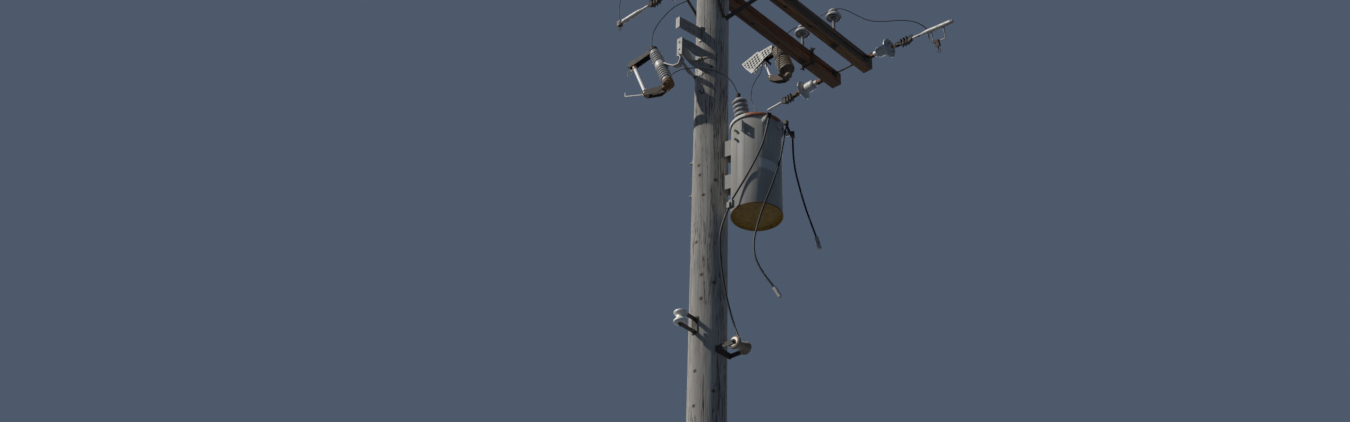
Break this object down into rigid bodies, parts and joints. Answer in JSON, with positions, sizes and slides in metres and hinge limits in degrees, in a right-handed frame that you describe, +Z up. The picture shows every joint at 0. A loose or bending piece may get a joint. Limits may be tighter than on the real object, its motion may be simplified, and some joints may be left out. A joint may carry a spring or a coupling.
{
  "type": "pole mounted transformer",
  "caption": "Wooden power pole with a double crossarm, strain and pin insulators, fused cutouts that swing open, a round can transformer and its hanging leads.",
  "frame": {"origin": "centre of the pole's butt face at ground level", "axes": "+Z up the pole, +X along the crossarms, the transformer hangs on the -Y side and the line wires leave along +Y and -Y"},
  "size_m": [3.5, 2.0613, 11.665],
  "materials": {
    "aluminium": "bare, slightly dull",
    "arm_wood": "red-brown creosoted timber, grey on the sides",
    "bronze": "weathered bronze casting",
    "brown_porcelain": "glossy brown glaze",
    "dark_steel": "dark, rusted galvanised steel",
    "fuse_tube": "pale grey fibre tube with metal ends",
    "grey_porcelain": "glossy light grey glaze",
    "hood_plastic": "off-white moulded plastic",
    "lead_cover": "black insulation",
    "pole_wood": "weathered grey timber with long checks",
    "rusty_paint": "light grey paint gone to rust at the rim",
    "steel": "dull galvanised steel",
    "tank_paint": "light grey paint, rust at the bottom",
    "white_porcelain": "glossy white glaze",
    "wire_cover": "thin weathered black covering"
  },
  "bodies": {
    "frame": {"arm_bolts": "dark_steel", "braces_back": "dark_steel", "braces_front": "dark_steel", "connector_left": "aluminium", "connector_middle": "aluminium", "connector_right": "aluminium", "cover_band": "rusty_paint", "crossarm_back": "arm_wood", "crossarm_front": "arm_wood", "cutout_left_hanger": "steel", "cutout_left_hinge": "bronze", "cutout_left_insulator": "grey_porcelain", "cutout_left_upper_contact": "dark_steel", "cutout_right_hanger": "dark_steel", "cutout_right_hinge": "bronze", "cutout_right_hood": "hood_plastic", "cutout_right_insulator": "brown_porcelain", "cutout_right_upper_contact": "dark_steel", "dead_end_insulators": "grey_porcelain", "empty_bracket": "steel", "hanger_bolts": "steel", "hanger_lower": "tank_paint", "hanger_upper": "tank_paint", "hot_line_clamps": "bronze", "hv_bushings": "grey_porcelain", "hv_terminals": "dark_steel", "insulator_pins": "steel", "jumper_middle": "wire_cover", "jumper_right": "wire_cover", "lead_left": "lead_cover", "lead_middle": "lead_cover", "lead_right": "lead_cover", "lead_tail": "lead_cover", "line_sleeves": "aluminium", "line_wire_left": "wire_cover", "load_wire_left": "wire_cover", "load_wire_right": "wire_cover", "lv_bushings": "grey_porcelain", "lv_terminals": "dark_steel", "pin_insulators": "grey_porcelain", "pole": "pole_wood", "rack_clevis": "dark_steel", "rack_spool": "brown_porcelain", "secondary_spool": "white_porcelain", "spool_clevis": "dark_steel", "strain_clamps": "dark_steel", "tank": "tank_paint", "tank_cover": "rusty_paint", "tap_connector": "aluminium", "wing_bracket": "steel"},
    "left_fuse_holder": {"cutout_left_fuse_holder": "fuse_tube"},
    "right_fuse_holder": {"cutout_right_fuse_holder": "fuse_tube"}
  },
  "joints": [
    {"name": "left_cutout_open", "type": "hinge", "parent": "frame", "child": "left_fuse_holder", "pos_m": [-0.36, 0.31481, 9.73278], "axis": [-1, 0, 0], "range_deg": [0, 130]},
    {"name": "right_cutout_open", "type": "hinge", "parent": "frame", "child": "right_fuse_holder", "pos_m": [1.29, 0.48074, 10.91802], "axis": [-1, 0, 0], "range_deg": [0, 130]}
  ]
}
